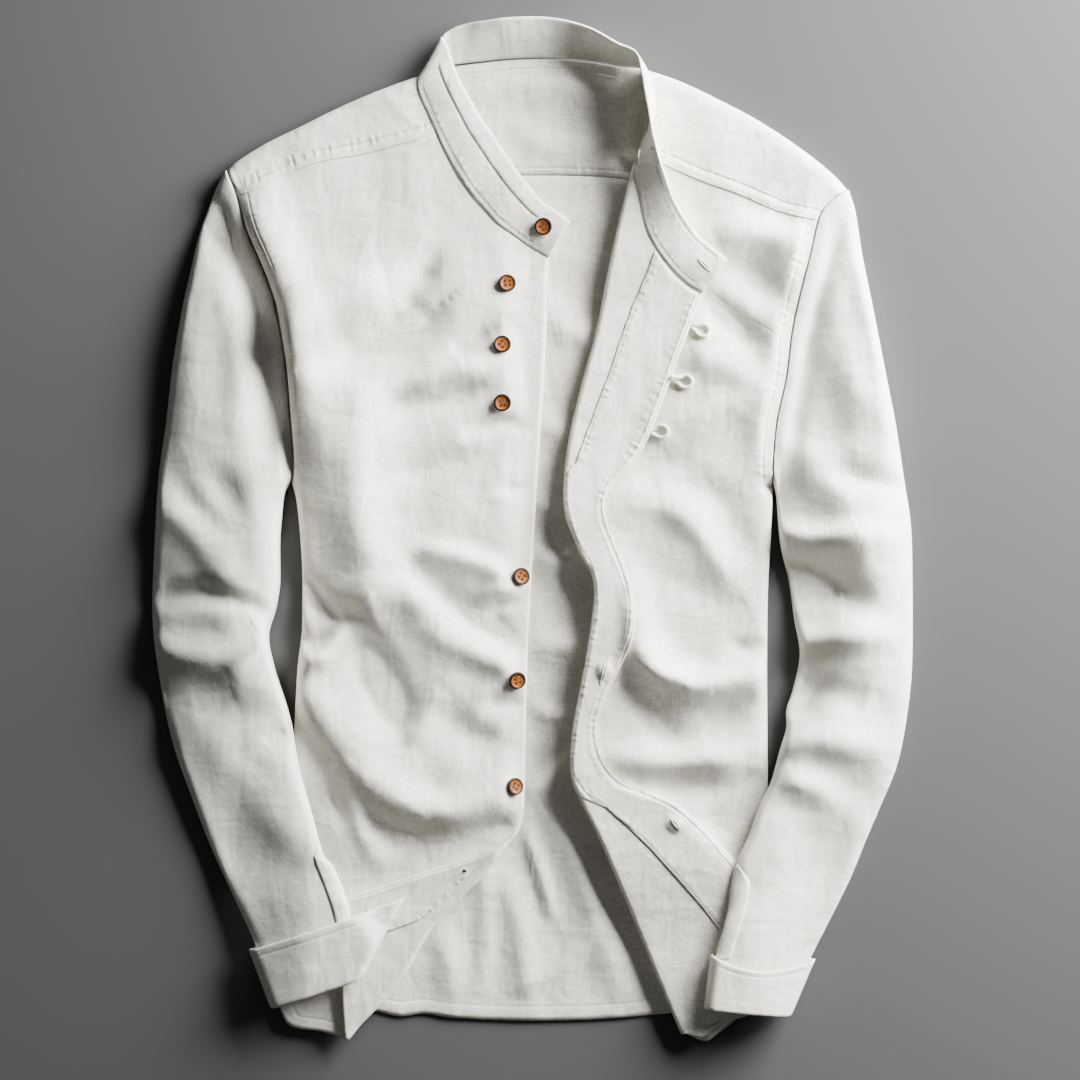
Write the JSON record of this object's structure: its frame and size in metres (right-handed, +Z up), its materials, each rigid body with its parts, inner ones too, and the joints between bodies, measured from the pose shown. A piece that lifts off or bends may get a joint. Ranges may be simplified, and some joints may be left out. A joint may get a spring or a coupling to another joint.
{
  "type": "mandarin collar shirt",
  "caption": "Long-sleeved shirt with a stand-up band collar, laid on its back with one front edge turned open, cuffs turned back, wooden buttons and button loops.",
  "frame": {"origin": "middle of the laid-out shirt's outline, on the surface it lies on", "axes": "+Z up from the surface, +Y towards the collar, the wearer's right side towards -X"},
  "size_m": [0.5464, 0.7335, 0.0392],
  "materials": {
    "cotton": "matte plain-weave cotton and linen, ivory",
    "button_wood": "satin turned wood, brown"
  },
  "bodies": {
    "root": {"back": "cotton", "yoke": "cotton", "front_right": "cotton", "front_left": "cotton", "facing_right": "cotton", "facing_left": "cotton", "collar": "cotton", "sleeve_right": "cotton", "sleeve_left": "cotton", "placket_right": "cotton", "placket_left": "cotton", "cuff_right": "cotton", "cuff_left": "cotton", "loop_1": "cotton", "loop_2": "cotton", "loop_3": "cotton", "button_1": "button_wood", "button_2": "button_wood", "button_3": "button_wood", "button_4": "button_wood", "button_5": "button_wood", "button_6": "button_wood", "button_7": "button_wood"}
  },
  "joints": []
}
